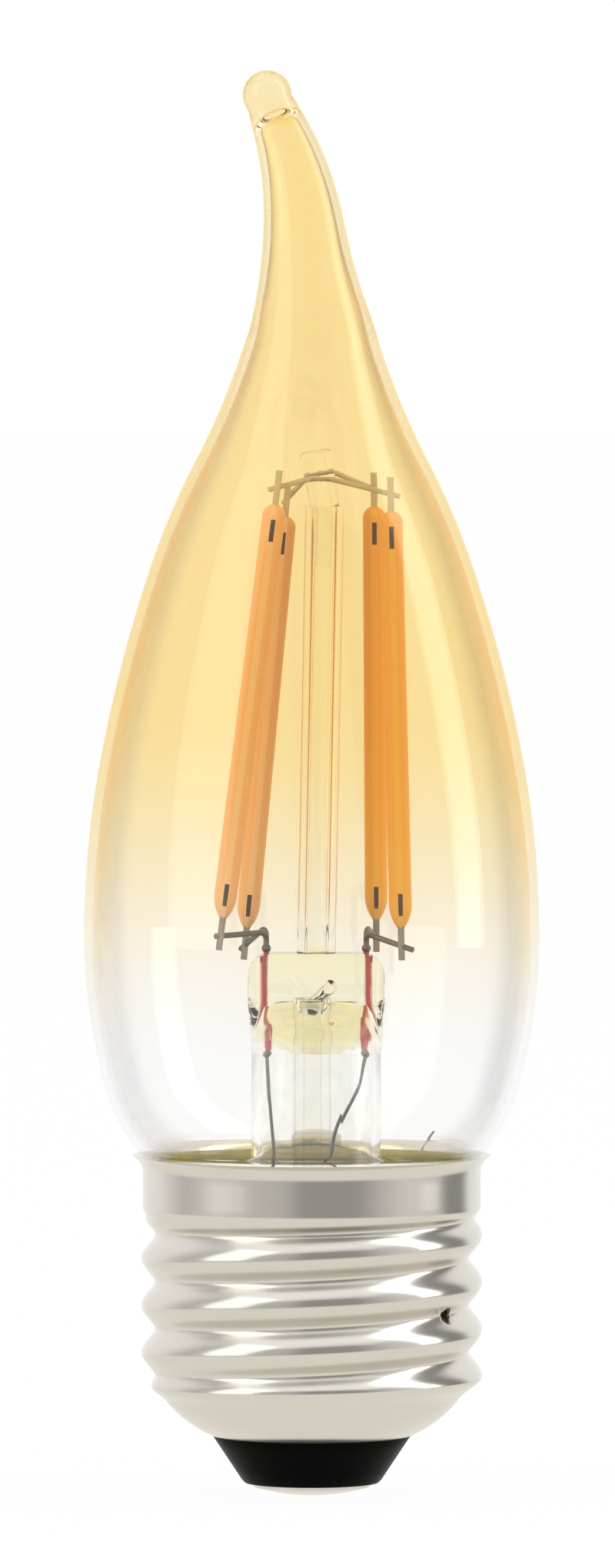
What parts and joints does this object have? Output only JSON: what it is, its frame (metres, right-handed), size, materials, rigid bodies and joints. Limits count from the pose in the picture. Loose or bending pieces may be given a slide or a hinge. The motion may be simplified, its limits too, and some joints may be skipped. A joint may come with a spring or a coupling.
{
  "type": "filament candle bulb",
  "caption": "Bent-tip candle lamp with amber-tinted clear glass, filament sticks on a glass stem and a medium screw cap.",
  "frame": {"origin": "lowest point of the centre contact, on the lamp's axis", "axes": "+Z along the axis from the cap to the tip, -Y towards the viewer of the picture, the tip bends to -X"},
  "size_m": [0.035, 0.035, 0.1096],
  "materials": {
    "nickel_plating": "bright nickel plating over thin sheet",
    "black_insulator": "black moulded insulator, satin gloss",
    "contact_metal": "nickel-plated contact",
    "amber_glass": "clear glass, amber at the tip fading to clear at the neck",
    "stem_glass": "clear soda glass with a pale green edge",
    "cement": "olive basing cement, matt",
    "lead_wire": "dark nickel wire",
    "seal_copper": "red oxidised copper-clad wire",
    "tab_metal": "stamped plated tab",
    "strip_ceramic": "pale carrier strip",
    "phosphor": "orange phosphor in silicone, soft satin",
    "board": "pale circuit board",
    "chip_plastic": "black moulded package",
    "capacitor_can": "dark sleeve",
    "resistor_coat": "green-grey cement coat"
  },
  "bodies": {
    "root": {"screw_shell": "nickel_plating", "base_insulator": "black_insulator", "centre_contact": "contact_metal", "glass_envelope": "amber_glass", "stem": "stem_glass", "exhaust_tube": "stem_glass", "stem_column": "stem_glass", "column_bead": "stem_glass", "basing_cement": "cement", "shell_lead": "lead_wire", "left_seal_wire": "seal_copper", "right_seal_wire": "seal_copper", "left_outer_lead": "lead_wire", "right_outer_lead": "lead_wire", "front_support_wire": "lead_wire", "back_support_wire": "lead_wire", "driver_board": "board", "bridge_rectifier": "chip_plastic", "driver_chip": "chip_plastic", "smoothing_capacitor": "capacitor_can", "fusible_resistor": "resistor_coat", "front_left_inner_lead": "lead_wire", "front_left_coating": "phosphor", "front_left_strip": "strip_ceramic", "front_left_lower_tab": "tab_metal", "front_left_upper_tab": "tab_metal", "back_left_inner_lead": "lead_wire", "back_left_coating": "phosphor", "back_left_strip": "strip_ceramic", "back_left_lower_tab": "tab_metal", "back_left_upper_tab": "tab_metal", "back_right_inner_lead": "lead_wire", "back_right_coating": "phosphor", "back_right_strip": "strip_ceramic", "back_right_lower_tab": "tab_metal", "back_right_upper_tab": "tab_metal", "front_right_inner_lead": "lead_wire", "front_right_coating": "phosphor", "front_right_strip": "strip_ceramic", "front_right_lower_tab": "tab_metal", "front_right_upper_tab": "tab_metal"}
  },
  "joints": []
}
